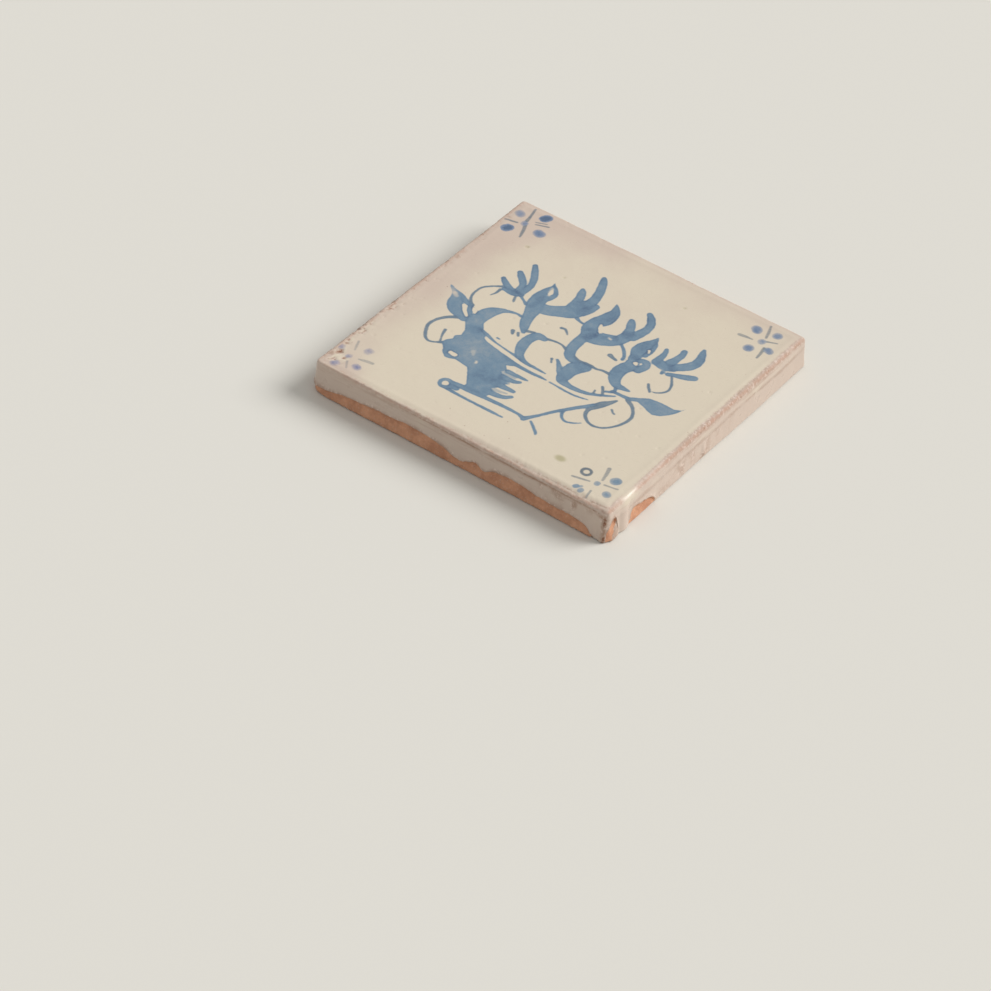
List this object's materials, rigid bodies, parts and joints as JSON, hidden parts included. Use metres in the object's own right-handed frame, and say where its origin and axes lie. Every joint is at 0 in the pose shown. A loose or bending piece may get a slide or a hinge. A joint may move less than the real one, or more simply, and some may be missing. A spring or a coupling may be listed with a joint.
{
  "type": "glazed wall tile",
  "caption": "Square handmade earthenware wall tile with a thick pale glaze that laps unevenly over its sides, painted in blue with a basket of fruit and corner motifs.",
  "frame": {"origin": "middle of the underside, at the centre of the tile's box", "axes": "+Z out of the glazed face; +X to the right across the painted picture; +Y up the picture"},
  "size_m": [0.1334, 0.1324, 0.0135],
  "materials": {
    "tile": "cream glaze with blue painting over bare red earthenware at the foot of the sides and on the back"
  },
  "bodies": {
    "root": {"tile": "tile"}
  },
  "joints": []
}
